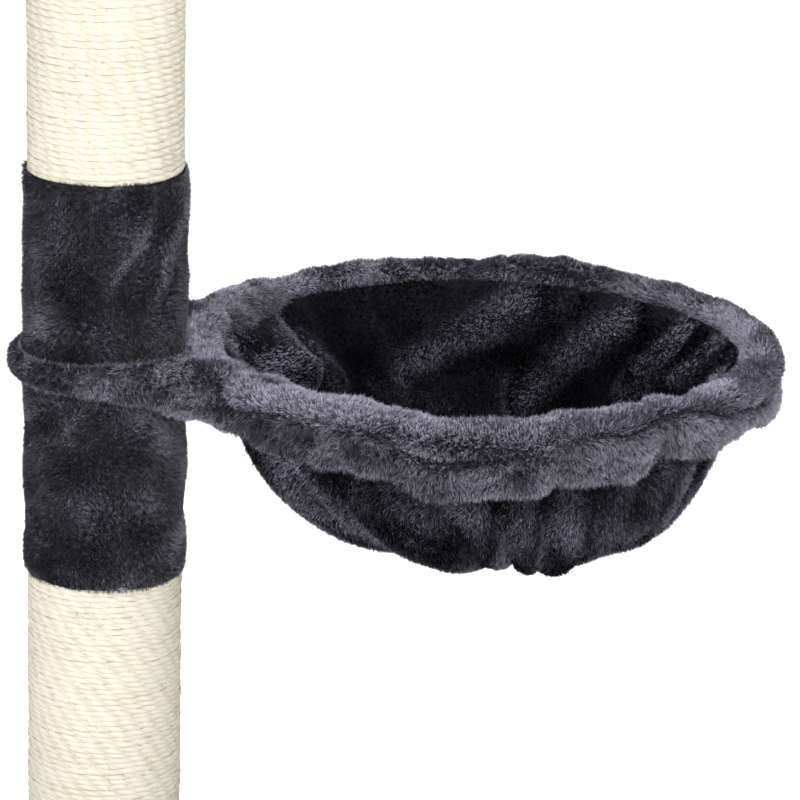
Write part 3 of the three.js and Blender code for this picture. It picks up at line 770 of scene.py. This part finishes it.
def rollSize(angle, sectionTurn):  # the roll's thickness from the wire, in metres
    size = rollWork["radius"] + roundTable(angle, rollLine, 2) / 1000
    for degrees, strength in rollCreases:
        away = apart(angle, degrees) + 0.05 * np.sin(sectionTurn + degrees)
        size = size - rollWork["radius"] * strength * (0.09 * np.exp(-(away / 0.055) ** 2)
                                                       + 0.14 * np.exp(-(away / 0.013) ** 2))
    return size


def seamTrim(spots, side):  # the pile is cut short beside the stitched seam
    angle, radius, height = aboutCentre(spots, hoopCentre)
    gap = (height - roundTable(angle, seamLine, 1, 2.0) / 1000) * side
    return np.where(radius > hoopRadius, 1 - 0.6 * np.exp(-(gap / 0.0028) ** 2), 1.0)


def makeRimRoll():
    section = {"half": rollWork["radius"], "halfHeight": rollWork["radius"],
               "sides": rollWork["sides"]}
    bm = spinSection(hoopCentre, hoopRadius, section, rollWork["steps"])
    piece = finishMesh(bm, "rim_roll_fabric", backing)
    places = shape(piece.data)
    angle, radius, height = aboutCentre(places, hoopCentre)
    sectionTurn = np.arctan2(height, radius - hoopRadius)
    size = rollSize(angle, sectionTurn)
    size += 0.0008 * waves(places, 53, 0.03) + 0.0004 * waves(places, 54, 0.013)
    radius = hoopRadius + size * np.cos(sectionTurn)
    height = size * np.sin(sectionTurn) + roundTable(angle, rollLine) / 1000
    reshape(piece.data, fromCentre(angle, radius, height, hoopCentre))
    place(piece, "hammock", "plush", "rim_cover")

    def rollShare(spots, outward):
        angle, radius, height = aboutCentre(spots, hoopCentre)
        hidden = (height < roundTable(angle, seamLine) / 1000 - 0.004) & (radius > hoopRadius)
        return np.where(hidden, 0.15, np.clip(1 + 1.0 * outward[:, 2], 0.4, 1))

    def rollBrush(spots, outward):  # upwards on the outer flank and inwards over the top
        angle, radius, height = aboutCentre(spots, hoopCentre)
        around = np.stack([-np.sin(angle), np.cos(angle), 0 * angle], 1)
        away = np.stack([np.cos(angle), np.sin(angle), 0 * angle], 1)
        up = np.array([0.0, 0.0, 1.0])
        nearEnd = np.exp(-(apart(angle, 15) / 0.7) ** 2)
        rise = np.where(radius > hoopRadius, 1.0, 1.1 * nearEnd - 0.4)
        return up * rise[:, None] - away * 0.3 + around * 0.35

    def rollLightAndShade(spots, outward):
        # painted light and shade on the roll: darker in the creases, along the seam, on the inner
        # lower side, near the post and under the far side; lighter on the thicker lobes, the top
        # of the far side, the outer flank and near the front end
        angle, radius, height = aboutCentre(spots, hoopCentre)
        inner = np.clip((hoopRadius - radius) / 0.014, 0, 1) * (height < 0.004)
        sectionTurn = np.arctan2(height, radius - hoopRadius)
        crease = (rollSize(angle, sectionTurn) - rollWork["radius"]) / 0.004
        seam = np.abs(height - roundTable(angle, seamLine) / 1000)
        shut = np.exp(-(seam / 0.0017) ** 2) * (radius > hoopRadius)
        nearPost = np.exp(-(apart(angle, 172) / 0.5) ** 2)
        post = 0.25 * nearPost * (radius < hoopRadius + 0.012)
        nearEnd = np.exp(-(apart(angle, 10) / 0.6) ** 2)
        backSide = np.exp(-(apart(angle, 108) / 0.8) ** 2)
        under = np.clip(1 - (height + 0.010) / 0.012, 0, 1)
        far = 0.5 * backSide * (height > 0) - 0.5 * backSide * under
        flank = 0.35 * np.clip((radius - hoopRadius) / 0.008, 0, 1)
        inner = inner * np.exp(-(apart(angle, 115) / 0.95) ** 2)
        return (0.2 * np.clip(crease, -1.8, 0.6) - 0.7 * inner - 0.8 * shut
                - post + far + flank + 0.45 * nearEnd)

    # the high tone is painted light on the top-lit roll
    growFibres("rim_pile", piece, "hammock", "plush", pileFibre, {
        "seed": 55, "perSquareMetre": 1450000, "swirl": 0.55, "swirlSize": 0.06,
        "lean": 0.68, "length": 0.0060, "fleck": 0.22, "tone": 0.80,
    }, share=rollShare, brush=rollBrush, tone=rollLightAndShade, trim=lambda spots: seamTrim(spots, 1))


makeRimRoll()
print("rolls made")

# hammock: ruffle
ruffleWork = {"hang": 0.0125, "fold": 0.0045, "steps": 520, "rows": 14, "skin": 0.005}
# where the ruffle folds in sharply between two lobes: degrees, depth in mm
ruffleNotches = [
    (-163, 5), (-149, 4), (-134.5, 6), (-126, 3), (-116, 9), (-103, 2), (-93, 2), (-84, 10),
    (-73.5, 3), (-62, 11), (-55, 3), (-44, 6), (-33, 6), (-17, 6), (-2, 5), (16, 6), (33, 5),
    (52, 6), (68, 5), (87, 6), (109, 5), (130, 6), (150, 5), (167, 5),
]


def ruffleWaves(angle):
    depth = 0 * angle
    for degrees, deep in ruffleNotches:
        depth = depth + deep / 1000 * np.exp(-np.abs(apart(angle, degrees) / 0.045) ** 1.3)
    return depth


def makeRuffle():
    bm = bmesh.new()
    top = bm.verts.new(hoopCentre + Vector((hoopRadius, 0, 0)))
    low = bm.verts.new(hoopCentre + Vector((hoopRadius, 0, -1)))
    edge = bm.edges.new((top, low))
    bmesh.ops.subdivide_edges(bm, edges=[edge], cuts=ruffleWork["rows"] - 1)
    bmesh.ops.spin(bm, geom=bm.verts[:] + bm.edges[:], cent=hoopCentre, axis=(0, 0, 1),
                   angle=2 * math.pi, steps=ruffleWork["steps"], use_merge=True)
    bmesh.ops.remove_doubles(bm, verts=bm.verts, dist=1e-6)
    piece = finishMesh(bm, "ruffle_fabric", backing)
    places = shape(piece.data)
    angle, radius, height = aboutCentre(places, hoopCentre)
    down = -height  # 0 at the seam, 1 at the hem
    seam = roundTable(angle, seamLine, 1, 2.0) / 1000
    hem = roundTable(angle, hemLine, 1, 2.0) / 1000 + 0.6 * ruffleWaves(angle)
    height = seam + down * (hem - seam)
    lift = roundTable(angle, rollLine) / 1000
    size = rollSize(angle, -0.5 + 0 * angle)
    reach = np.sqrt(np.clip(size ** 2 - (height - lift) ** 2, 0.0001 ** 2, None))
    onRoll = np.where(height > lift, size, reach) * (height > lift - size)
    onRoll = hoopRadius + np.where(height > lift, reach, onRoll)
    notch = ruffleWaves(angle)
    rim = np.stack([angle * hoopRadius, 0 * angle], 1)
    bulge = ruffleWork["fold"] * np.sin(math.pi * np.clip(down, 0, 1) ** 0.8)
    hang = hoopRadius + ruffleWork["hang"] + bulge + 0.0018 * waves(rim, 61, 0.07)
    hang = hang - notch * (0.3 + 0.7 * down) + 0.0010 * waves(places, 63, 0.03)
    tucked = np.exp(-(down / 0.09) ** 2)
    radius = np.maximum(onRoll + 0.0030, hang) - 0.0055 * tucked
    radius -= 0.0035 * np.clip((down - 0.8) / 0.2, 0, 1) ** 2  # the hem turns in
    reshape(piece.data, fromCentre(angle, radius, height, hoopCentre))
    settle(piece, "SOLIDIFY", thickness=ruffleWork["skin"], offset=-1.0)
    settle(piece, "SMOOTH", factor=0.5, iterations=2)
    place(piece, "hammock", "plush", "rim_ruffle")

    def ruffleShare(spots, outward):
        angle, radius, height = aboutCentre(spots, hoopCentre)
        away = outward[:, 0] * np.cos(angle) + outward[:, 1] * np.sin(angle)
        return np.where(away > -0.3, 1.0, 0.1)

    def ruffleShade(spots, outward):
        # painted shade: darker along the seam, in the notches between the lobes and on down-facing
        # pile
        angle, radius, height = aboutCentre(spots, hoopCentre)
        seam = height - roundTable(angle, seamLine, 1, 2.0) / 1000
        return (-0.8 * np.exp(-((seam + 0.0005) / 0.0022) ** 2) - 36 * ruffleWaves(angle)
                + 0.25 * np.clip(outward[:, 2], -1, 0))

    # the high tone is painted light, lighter than the shaded bowl below
    pile = growFibres("ruffle_pile", piece, "hammock", "plush", pileFibre, {
        "seed": 65, "perSquareMetre": 1350000, "swirl": 0.6, "swirlSize": 0.05, "lean": 0.75,
        "length": 0.0066, "droop": 0.1, "fleck": 0.22, "tone": 0.74,
    }, share=ruffleShare, tone=ruffleShade, trim=lambda spots: seamTrim(spots, -1))


makeRuffle()
print("ruffle made")

# hammock: bowl
bowlWork = {"mouth": 0.257, "depth": 0.196, "top": 0.021, "steps": 240, "rows": 48,
            "skew": 0.031, "steeper": (0.012, 0.023), "drawIn": 0.011, "skin": 0.0022,
            "hidden": 0.016}
# each layer's distance in from the bowl's line, and how its top edge moves out and up
bowlLayers = {
    "outer": {"inset": 0.0035, "lift": (0.0095, 0.013)},
    "lining": {"inset": 0.0150, "lift": (0.022, 0.017)},
    "padding": {"inset": 0.0062, "lift": (0.0, 0.002)},
}
gathers = {"count": 27, "height": 0.0080, "wander": 1.5, "seed": 71}
# soft folds of the lining: degrees and depth in mm at both ends, half width and height in mm
liningFolds = [
    (64, 12, 104, 77, 22, 25), (43, 16, 70, 112, 21, 25), (24, 14, 34, 100, 21, 24),
    (144, 6, 130, 82, 24, 23), (10, 12, 18, 105, 18, 14), (170, 8, 152, 66, 18, 14),
    (112, 92, 66, 150, 20, 10), (-10, 14, -16, 110, 18, 13), (-34, 12, -50, 116, 18, 14),
    (-62, 14, -70, 120, 16, 13), (-88, 12, -98, 110, 18, 14), (-118, 14, -122, 120, 18, 13),
    (-146, 10, -150, 90, 20, 15), (158, 100, 100, 160, 22, 9), (20, 130, -60, 160, 22, 9),
    (160, 20, 148, 58, 40, 42), (4, 8, -14, 50, 28, 30),
]


def bowlPlace(angle, share, inset):  # share 0 at the mouth, 1 at the bottom
    depth = bowlWork["depth"] - inset
    start = math.asin(bowlWork["top"] / depth)
    turn = start + (math.pi / 2 - start) * share
    radius = (bowlWork["mouth"] - inset) * np.maximum(np.cos(turn), 0) ** (2 / 3)
    return radius, -depth * np.sin(turn)


def spinBowl(name, material):
    bm = bmesh.new()
    rows = bowlWork["rows"]
    line = [bm.verts.new(hoopCentre + Vector((1 - i / rows, 0, -i / rows)))
            for i in range(rows + 1)]
    for upper, lower in zip(line, line[1:]):
        bm.edges.new((upper, lower))
    bmesh.ops.spin(bm, geom=bm.verts[:] + bm.edges[:], cent=hoopCentre, axis=(0, 0, 1),
                   angle=2 * math.pi, steps=bowlWork["steps"], use_merge=True)
    bmesh.ops.remove_doubles(bm, verts=bm.verts, dist=1e-6)
    return finishMesh(bm, name, material)


def shapeBowl(piece, layer, offset):
    inset, lift = layer["inset"], layer["lift"]
    angle, radius, height = aboutCentre(shape(piece.data), hoopCentre)
    share = np.sqrt(np.clip(-height, 0, 1))
    base, low = bowlPlace(angle, share, inset)
    ahead, lowAhead = bowlPlace(angle, np.minimum(share + 0.01, 1.0), inset)
    behind, lowBehind = bowlPlace(angle, np.maximum(share - 0.01, 0.0), inset)
    run, fall = ahead - behind, lowAhead - lowBehind
    size = np.hypot(run, fall)
    push = offset(angle, share, base, low)
    radius = base + push * -fall / size
    height = low + push * run / size
    # the top edge goes up behind the roll, and the weight hangs a little to the far side
    top = np.clip(1 - share / 0.10, 0, 1)
    height += lift[1] * top
    radius += lift[0] * top
    places = fromCentre(angle, np.maximum(radius, 0), height, hoopCentre)
    sunk = np.clip((-low - 0.03) / 0.166, 0, 1)
    near, far = bowlWork["steeper"]
    steep = np.clip(sunk * 2.4 - 0.15, 0, 1) * (1 - share)
    places[:, 0] += bowlWork["skew"] * sunk ** 1.5 + near * steep * np.clip(-np.cos(angle), 0, 1)
    places[:, 0] -= far * steep * np.clip(np.cos(angle), 0, 1)
    reshape(piece.data, places)


def gatherRidge(angle, share):
    spot = np.stack([0.257 * np.cos(angle), 0.257 * np.sin(angle), 0.16 * share], 1)
    phase = gathers["count"] * angle + gathers["wander"] * waves(spot, gathers["seed"], 0.28)
    strength = 0.6 + 0.4 * np.clip(waves(spot, gathers["seed"] + 1, 0.18), -1, 1)
    return (np.abs(np.cos(phase / 2)) ** 0.8 * 2 - 0.95) * strength


def drawIn(share):  # the bowl is drawn in under the ruffle
    return -bowlWork["drawIn"] * np.exp(-((share - 0.05) / 0.16) ** 2)


def gatherPush(angle, share, radius, low):
    spot = np.stack([0.257 * np.cos(angle), 0.257 * np.sin(angle), 0.16 * share], 1)
    fade = np.clip(0.35 + 2.2 * share, 0, 1) * np.clip((1 - share) * 2.4, 0, 1)
    slack = 0.004 * waves(spot, gathers["seed"] + 2, 0.2) * np.clip(share * 3, 0, 1)
    push = gathers["height"] * gatherRidge(angle, share) * fade
    return push + slack * np.clip((1 - share) * 4, 0, 1) + drawIn(share)


def liningCrest(angle, low):  # mm that the folds stand in from the bowl's line
    crest = np.zeros(len(angle))
    across = 0.24
    for a0, d0, a1, d1, wide, high in liningFolds:
        start = np.array([math.radians(a0) * across, d0 / 1000])
        line = np.array([math.radians(a1) * across, d1 / 1000]) - start
        for shift in (-2 * math.pi * across, 0, 2 * math.pi * across):
            x = angle * across + shift - start[0]
            y = -low - start[1]
            along = np.clip((x * line[0] + y * line[1]) / (line @ line), 0, 1)
            away = np.hypot(x - along * line[0], y - along * line[1])
            crest = np.maximum(crest, high * np.exp(-(away / (wide / 1000)) ** 2))
    return crest


def liningPush(angle, share, radius, low):
    spot = np.stack([radius * np.cos(angle), radius * np.sin(angle), low], 1)
    push = -liningCrest(angle, low) / 1000 - 0.0025 * (1 + waves(spot, 81, 0.09))
    push = push * np.clip((1 - share) * 5, 0, 1) * np.clip(share * 7, 0, 1)
    # the lining never goes out past the shell
    return push + np.minimum(gatherPush(angle, share, radius, low), drawIn(share))


def makeBowl():
    outer = spinBowl("bowl_outer_fabric", backing)
    shapeBowl(outer, bowlLayers["outer"], gatherPush)
    outerPlaces = shape(outer.data)
    settle(outer, "SOLIDIFY", thickness=bowlWork["skin"], offset=-1.0)
    place(outer, "hammock", "plush", "bowl_outer")

    lining = spinBowl("bowl_lining_fabric", backing)
    shapeBowl(lining, bowlLayers["lining"], liningPush)
    pad = spinBowl("bowl_padding_fill", wadding)
    shapeBowl(pad, bowlLayers["padding"], gatherPush)
    midway = 0.5 * (outerPlaces + shape(lining.data))  # the wadding lies between the two
    nearTop = np.clip((shape(pad.data)[:, 2] - hoopCentre.z + 0.04) / 0.03, 0, 1)
    midway[:, 2] -= bowlWork["hidden"] * nearTop  # its edge stays below the roll
    reshape(pad.data, midway)
    settle(pad, "SOLIDIFY", thickness=bowlWork["skin"], offset=-1.0)
    place(pad, "hammock", "wadding", "bowl_padding")

    settle(lining, "SOLIDIFY", thickness=bowlWork["skin"], offset=-1.0)
    place(lining, "hammock", "plush", "bowl_lining")

    def side(sign):
        def share(spots, outward):
            away = spots - np.array(hoopCentre + Vector((0, 0, -0.02)))
            return ((unit(away) * outward).sum(1) * sign > 0.1).astype(float)
        return share

    def outerLightAndShade(spots, outward):
        # painted light and shade on the bowl's outside: lighter on the gather ridges and darker
        # between them, darker on the upper part in the shadow of the ruffle, and lighter round
        # -165 degrees, the side lit from the left
        angle, radius, height = aboutCentre(spots, hoopCentre)
        share = np.sqrt(np.clip((-height - 0.02) / 0.175, 0, 1))
        low = np.clip((-height - 0.06) / 0.12, 0, 1)
        left = 0.6 * np.exp(-(apart(angle, -165) / 0.55) ** 2)
        return 0.26 * np.clip(gatherRidge(angle, share), -1, 1) - 0.10 * (1 - low) + left

    def liningLightAndShade(spots, outward):
        # painted light and shade inside the bowl: lighter on the fold crests and round 8 degrees,
        # darker between the folds, overall and at the back round 110 degrees
        angle, radius, height = aboutCentre(spots, hoopCentre)
        lit = 0.55 * np.exp(-(apart(angle, 8) / 0.55) ** 2) * np.clip(1 + height / 0.085, 0, 1)
        crest = np.clip(liningCrest(angle, height) / 24, 0, 1)
        back = 0.12 * np.exp(-(apart(angle, 110) / 0.5) ** 2) * np.clip(1 + height / 0.09, 0, 1)
        return 0.84 * crest ** 1.3 - 0.17 + (0.35 + crest) * lit - back

    # the shaded copy of the pile and its low tone paint the bowl's outside in shade
    outerPile = growFibres("bowl_outer_pile", outer, "hammock", "plush", shadedFibre, {
        "seed": 75, "perSquareMetre": 900000, "swirl": 0.9, "swirlSize": 0.08, "mess": 0.45,
        "lean": 0.9, "length": 0.0058, "width": 0.0009, "droop": 0.1, "gloss": 0.3,
        "patchSize": 0.05, "patches": 0.08, "fleck": 0.15, "tone": 0.24,
    }, share=side(1), tone=outerLightAndShade)
    # the very low tone paints the bowl's inside in deep shade
    liningPile = growFibres("bowl_lining_pile", lining, "hammock", "plush", shadedFibre, {
        "seed": 85, "perSquareMetre": 750000, "swirl": 1.2, "swirlSize": 0.09, "mess": 0.45,
        "lean": 1.05, "length": 0.0052, "width": 0.0011, "gloss": 0.3, "sparkle": 0.15,
        "patchSize": 0.06, "patches": 0.03, "fleck": 0.04, "tone": 0.08,
    }, share=side(-1), tone=liningLightAndShade)


makeBowl()
print("bowl made")

# hammock: neck
# the padded fabric that runs from the post loop into the roll on each side, for the front;
# mm from the loop's centre: x, y, half width, half height, height of its middle
neckStations = [
    (-42, -76, 3, 7, 0), (-18, -84, 5, 14, 0), (12, -86, 8, 17, -1), (38, -84, 14, 20, -3),
    (62, -82, 21, 24, -7), (86, -86, 25, 26, -9), (110, -100, 25, 26, -9),
    (132, -124, 22, 24, -8), (154, -152, 18, 22, -6), (178, -186, 13, 18, -5),
    (200, -214, 8, 12, -5),
]
neckWork = {"sides": 32, "between": 5, "groove": 0.0035}


def makeNeck(label, mirror):
    rows = np.array(neckStations, float)
    steps = np.linspace(0, len(rows) - 1, (len(rows) - 1) * neckWork["between"] + 1)
    smooth = np.stack([np.interp(steps, np.arange(len(rows)), rows[:, i]) for i in range(5)], 1)
    for _ in range(4):  # rounds the line through the stations
        smooth[1:-1] = (smooth[:-2] + 2 * smooth[1:-1] + smooth[2:]) / 4
    bm = bmesh.new()
    before = None
    for i, (x, y, half, halfHeight, middle) in enumerate(smooth / 1000):
        ahead = smooth[min(i + 1, len(smooth) - 1)] - smooth[max(i - 1, 0)]
        turn = math.atan2(ahead[1], ahead[0])
        made = bmesh.ops.create_circle(bm, cap_ends=i in (0, len(smooth) - 1),
                                       segments=neckWork["sides"], radius=1)["verts"]
        stand = (Matrix.Translation(loopCentre + Vector((x, y, middle)))
                 @ Matrix.Rotation(turn - math.pi / 2, 4, "Z")
                 @ Matrix.Rotation(math.pi / 2, 4, "X")
                 @ Matrix.Diagonal((half, halfHeight, 1, 1)))
        bmesh.ops.transform(bm, matrix=stand, verts=made)
        ring = [e for e in bm.edges if e.verts[0] in made and e.verts[1] in made]
        if before:
            bmesh.ops.bridge_loops(bm, edges=before + ring)
        before = ring
    if mirror:
        bmesh.ops.scale(bm, vec=(1, -1, 1), verts=bm.verts)
        for vert in bm.verts:  # the far side stands a little higher
            vert.co.z += 0.006 * math.exp(-((vert.co.x - loopCentre.x - 0.11) / 0.05) ** 2)
    piece = finishMesh(bm, f"neck_{label}_fabric", backing)
    settle(piece, "SMOOTH", factor=0.5, iterations=3)
    places = shape(piece.data)
    normals = np.empty(len(places) * 3)
    piece.data.vertices.foreach_get("normal", normals)
    normals = normals.reshape(-1, 3)
    flank = -normals[:, 1] * (-1 if mirror else 1)

    def seamGap(spots):  # how far over the stitched seam, in metres
        x = spots[:, 0] - loopCentre.x
        seam = np.interp(x, [0.05, 0.09, 0.14, 0.18], [-0.020, -0.016, -0.011, -0.006])
        return spots[:, 2] - loopCentre.z - seam

    groove = np.exp(-(seamGap(places) / 0.004) ** 2) * (flank > 0.2)
    groove = groove * np.clip((places[:, 0] - loopCentre.x - 0.05) / 0.03, 0, 1)
    push = 0.0016 * waves(places, 91, 0.035) + 0.0008 * waves(places, 92, 0.015)
    places += normals * (push - neckWork["groove"] * groove)[:, None]
    reshape(piece.data, places)
    place(piece, "hammock", "plush", f"neck_gusset_{label}")

    def neckShade(spots, outward):
        # painted shade: darker along the seam and on the inner side, and the back neck darker
        # overall
        x = spots[:, 0] - loopCentre.x
        flank = -outward[:, 1] * (-1 if mirror else 1)
        shut = np.exp(-(seamGap(spots) / 0.0035) ** 2) * (flank > 0.2) * (x > 0.06)
        inner = np.clip(-flank, 0, 1)
        return -0.6 * shut - 0.35 * inner - (0.2 if mirror else 0)

    # its tone is painted light, set to how lit the neck is
    growFibres(f"neck_{label}_pile", piece, "hammock", "plush", pileFibre, {
        "seed": 93, "perSquareMetre": 1400000, "swirl": 0.8, "swirlSize": 0.05, "lean": 0.7,
        "length": 0.0066, "tone": 0.64,
    }, tone=neckShade)


makeNeck("front", False)
makeNeck("back", True)
print("neck made")

# base and cap
baseWork = {"skin": 0.0024, "corner": 0.058, "round": 0.006, "wrap": 0.03, "inset": 0.0035}
linerWork = {"corner": 0.045, "segments": 8}
capWork = {"skin": 0.0024, "round": 0.006, "inset": 0.003, "segments": 72}


def makeBaseCover():
    low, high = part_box("base_plush_cover")
    size = high - low
    inset = baseWork["inset"]
    bm = bmesh.new()
    made = bmesh.ops.create_cube(bm, size=1)
    bmesh.ops.scale(bm, vec=(size.x - 2 * inset, size.y - 2 * inset, size.z - inset),
                    verts=made["verts"])
    bmesh.ops.translate(bm, verts=bm.verts, vec=(low + high) / 2 + Vector((0, 0, -inset / 2)))
    upright = [e for e in bm.edges if abs(e.verts[0].co.z - e.verts[1].co.z) > 0.02]
    bmesh.ops.bevel(bm, geom=upright, offset=baseWork["corner"], segments=12, profile=0.5,
                    affect="EDGES", material=-1)
    topZ = max(v.co.z for v in bm.verts)
    rim = [e for e in bm.edges if len(e.link_faces) == 2
           and all(abs(v.co.z - topZ) < 1e-6 for v in e.verts)]
    bmesh.ops.bevel(bm, geom=rim, offset=baseWork["round"], segments=4, profile=0.5,
                    affect="EDGES", material=-1)
    bottom = [f for f in bm.faces if f.normal.z < -0.9 and f.calc_center_median().z < 0.005]
    bmesh.ops.inset_region(bm, faces=bottom, thickness=baseWork["wrap"])
    bmesh.ops.delete(bm, geom=bottom, context="FACES")
    piece = finishMesh(bm, "base_cover_fabric", backing)
    settle(piece, "SOLIDIFY", thickness=baseWork["skin"], offset=-1.0)
    place(piece, "stand", "plush", "base_plush_cover")

    def topAndSides(spots, outward):
        away = spots - np.array([0, 0, 0.012])
        away[:, :2] *= 0.08
        return np.where(((away * outward).sum(1) > 0) & (spots[:, 2] > 0.002), 1.0, 0.0)

    pile = growFibres("base_pile", piece, "stand", "plush", pileFibre, {
        "seed": 101, "perSquareMetre": 640000, "swirl": 0.6, "swirlSize": 0.16, "mess": 0.45,
        "lean": 0.9, "leanChange": 0.05, "length": 0.0078, "width": 0.0012, "gloss": 0.3,
        "patchSize": 0.12, "patches": 0.04, "tone": 0.34,
    }, share=topAndSides)


def makeBaseLiner():
    low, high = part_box("base_underside_liner")
    bm = bmesh.new()
    made = bmesh.ops.create_cube(bm, size=1)
    bmesh.ops.scale(bm, vec=high - low, verts=made["verts"])
    bmesh.ops.translate(bm, verts=bm.verts, vec=(low + high) / 2)
    upright = [e for e in bm.edges if abs(e.verts[0].co.z - e.verts[1].co.z) > 0.001]
    bmesh.ops.bevel(bm, geom=upright, offset=linerWork["corner"],
                    segments=linerWork["segments"], profile=0.5, affect="EDGES", material=-1)
    piece = finishMesh(bm, "base_liner_felt", cadFinishes["liner_felt"])
    for face in piece.data.polygons:
        face.use_smooth = False
    place(piece, "stand", "liner_felt", "base_underside_liner")


def makeCapCover():
    low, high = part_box("top_cap_cover")
    radius = (high.x - low.x) / 2 - capWork["inset"]
    thick = high.z - low.z - capWork["inset"]
    bm = bmesh.new()
    bmesh.ops.create_cone(bm, cap_ends=True, cap_tris=False,
                          segments=capWork["segments"], radius1=radius, radius2=radius,
                          depth=thick)
    bmesh.ops.translate(bm, verts=bm.verts, vec=postAxis + Vector((0, 0, low.z + thick / 2)))
    topZ = max(v.co.z for v in bm.verts)
    rim = [e for e in bm.edges if all(abs(v.co.z - topZ) < 1e-6 for v in e.verts)]
    bmesh.ops.bevel(bm, geom=rim, offset=capWork["round"], segments=4, profile=0.5,
                    affect="EDGES", material=-1)
    bottom = [f for f in bm.faces if f.normal.z < -0.9]
    bmesh.ops.delete(bm, geom=bottom, context="FACES_ONLY")
    piece = finishMesh(bm, "cap_cover_fabric", backing)
    settle(piece, "SOLIDIFY", thickness=capWork["skin"], offset=-1.0)
    place(piece, "stand", "plush", "top_cap_cover")

    def outside(spots, outward):
        away = spots - np.array(postAxis + Vector((0, 0, low.z)))
        return ((away * outward).sum(1) > 0.002).astype(float)

    pile = growFibres("cap_pile", piece, "stand", "plush", pileFibre, {
        "seed": 111, "perSquareMetre": 900000, "swirl": 0.6, "swirlSize": 0.1, "mess": 0.45,
        "lean": 0.85, "leanChange": 0.06, "length": 0.0075, "width": 0.001, "gloss": 0.3,
        "patchSize": 0.06, "tone": 0.38,
    }, share=outside)


makeBaseCover()
makeBaseLiner()
makeCapCover()
print("base and cap made")
